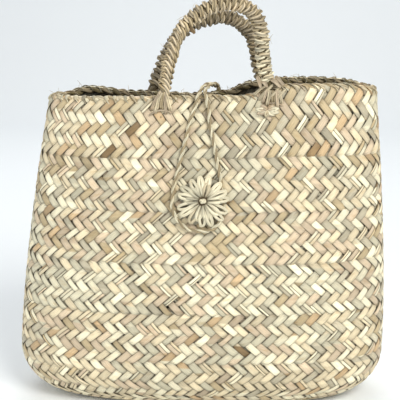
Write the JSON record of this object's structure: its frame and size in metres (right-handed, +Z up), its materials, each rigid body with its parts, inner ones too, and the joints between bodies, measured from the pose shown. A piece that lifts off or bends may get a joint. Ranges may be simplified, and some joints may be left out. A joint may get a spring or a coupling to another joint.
{
  "type": "woven market basket",
  "caption": "Soft-sided plaited palm-leaf basket with a pinched oval mouth, two rope-wrapped arch handles and a cord loop hooked over a rosette.",
  "frame": {"origin": "centre of the underside of the floor", "axes": "+X to the right and +Z up, with the rosette side facing -Y"},
  "size_m": [0.4202, 0.1529, 0.4552],
  "materials": {
    "palm_plait": "dry plaited palm leaf, satin",
    "seam_cord": "dry twisted palm fibre",
    "rim_braid": "dry twisted palm leaf",
    "rope_core": "dry palm fibre rope",
    "handle_wrap": "dry twisted palm leaf",
    "lashing": "dry twisted palm fibre",
    "knot": "knotted palm fibre",
    "closure_cord": "two-ply twisted palm cord",
    "rosette": "pale split palm leaf"
  },
  "bodies": {
    "basket": {"base_panel": "palm_plait", "band_1": "palm_plait", "band_2": "palm_plait", "band_3": "palm_plait", "band_4": "palm_plait", "band_5": "palm_plait", "band_6": "palm_plait", "band_7": "palm_plait", "seam_cord_0": "seam_cord", "seam_cord_1": "seam_cord", "seam_cord_2": "seam_cord", "seam_cord_3": "seam_cord", "seam_cord_4": "seam_cord", "seam_cord_5": "seam_cord", "seam_cord_6": "seam_cord", "rim_binding": "rim_braid", "lashing_front_left": "lashing", "lashing_front_right": "lashing", "lashing_rear_left": "lashing", "lashing_rear_right": "lashing", "knot_front_left": "knot", "knot_front_right": "knot", "knot_rear_left": "knot", "knot_rear_right": "knot", "closure_knot": "knot", "rosette_petals": "rosette", "rosette_heart": "rosette", "rosette_disc": "lashing", "rosette_shank": "lashing", "rosette_stop": "knot"},
    "front_handle": {"front_handle_core": "rope_core", "front_handle_wrap": "handle_wrap"},
    "rear_handle": {"rear_handle_core": "rope_core", "rear_handle_wrap": "handle_wrap"},
    "closure_strap": {"closure_strap": "closure_cord"},
    "closure_bight": {"closure_bight": "closure_cord"}
  },
  "joints": [
    {"name": "front_handle_fold", "type": "hinge", "parent": "basket", "child": "front_handle", "pos_m": [0.018, -0.02778, 0.346], "axis": [1, 0, 0], "range_deg": [-10, 80]},
    {"name": "rear_handle_fold", "type": "hinge", "parent": "basket", "child": "rear_handle", "pos_m": [0.008, 0.02839, 0.346], "axis": [-1, 0, 0], "range_deg": [-10, 80]},
    {"name": "closure_flip", "type": "hinge", "parent": "basket", "child": "closure_strap", "pos_m": [0.0165, 0.0207, 0.3547], "axis": [-1, 0, 0], "range_deg": [0, 215], "deforming": ["closure_strap", "closure_bight"]},
    {"name": "closure_unhook", "type": "hinge", "parent": "closure_strap", "child": "closure_bight", "pos_m": [0.0025, -0.021, 0.354], "axis": [-1, 0, 0], "range_deg": [0, 129], "deforming": ["closure_bight"]}
  ]
}
